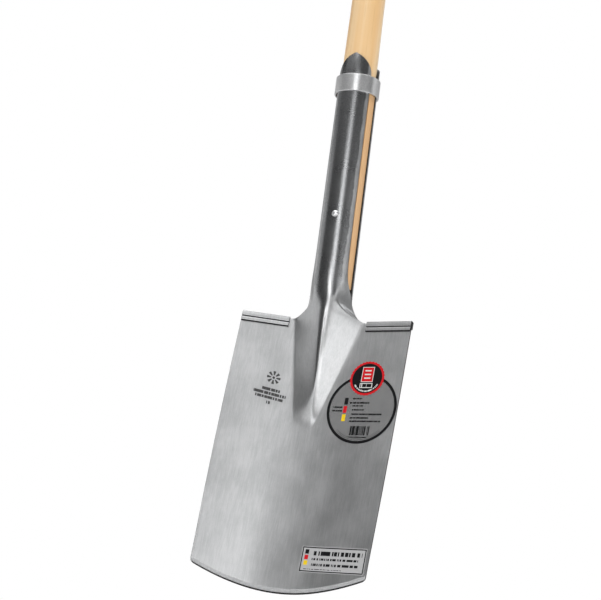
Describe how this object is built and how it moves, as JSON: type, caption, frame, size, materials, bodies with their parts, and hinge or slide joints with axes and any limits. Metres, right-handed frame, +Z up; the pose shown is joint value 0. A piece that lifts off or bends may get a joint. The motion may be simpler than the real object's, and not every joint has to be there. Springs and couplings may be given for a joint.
{
  "type": "garden spade",
  "caption": "Garden spade with a forged steel blade, folded treads, two straps held by a collar and a rivet, an ash shaft and a turned T-grip.",
  "frame": {"origin": "middle of the cutting edge, the lowest point of the blade", "axes": "+Z up along the shaft, +X to the user's right when the hollow face of the blade is seen, -Y out of the blade's hollow face; the shaft's axis is at Y = +52.4 mm"},
  "size_m": [0.181, 0.0861, 1.1562],
  "materials": {
    "blade_steel": "ground lengthwise, with a dark forged skin left on the strap",
    "strap_steel": "dark forged skin, brushed",
    "collar_zinc": "bright zinc plate",
    "rivet_steel": "peened steel",
    "tread_steel": "rolled strip, brushed",
    "shaft_ash": "turned ash, thin clear lacquer",
    "grip_ash": "turned ash, thin clear lacquer",
    "wedge_wood": "darker hardwood, cut across the tenon",
    "pin_steel": "cut and filed flush",
    "info_film": "clear film with a printed black ring and plain grey bars",
    "seal_print": "red film with a black disc",
    "foot_print": "silver film with a thin black border and plain bars"
  },
  "bodies": {
    "root": {"blade": "blade_steel", "rear_strap": "strap_steel", "collar": "collar_zinc", "socket_rivet": "rivet_steel", "tread_left": "tread_steel", "tread_right": "tread_steel", "shaft": "shaft_ash", "grip_bar": "grip_ash", "grip_wedge": "wedge_wood", "grip_pin": "pin_steel", "info_label": "info_film", "seal_label": "seal_print", "foot_label": "foot_print"}
  },
  "joints": []
}
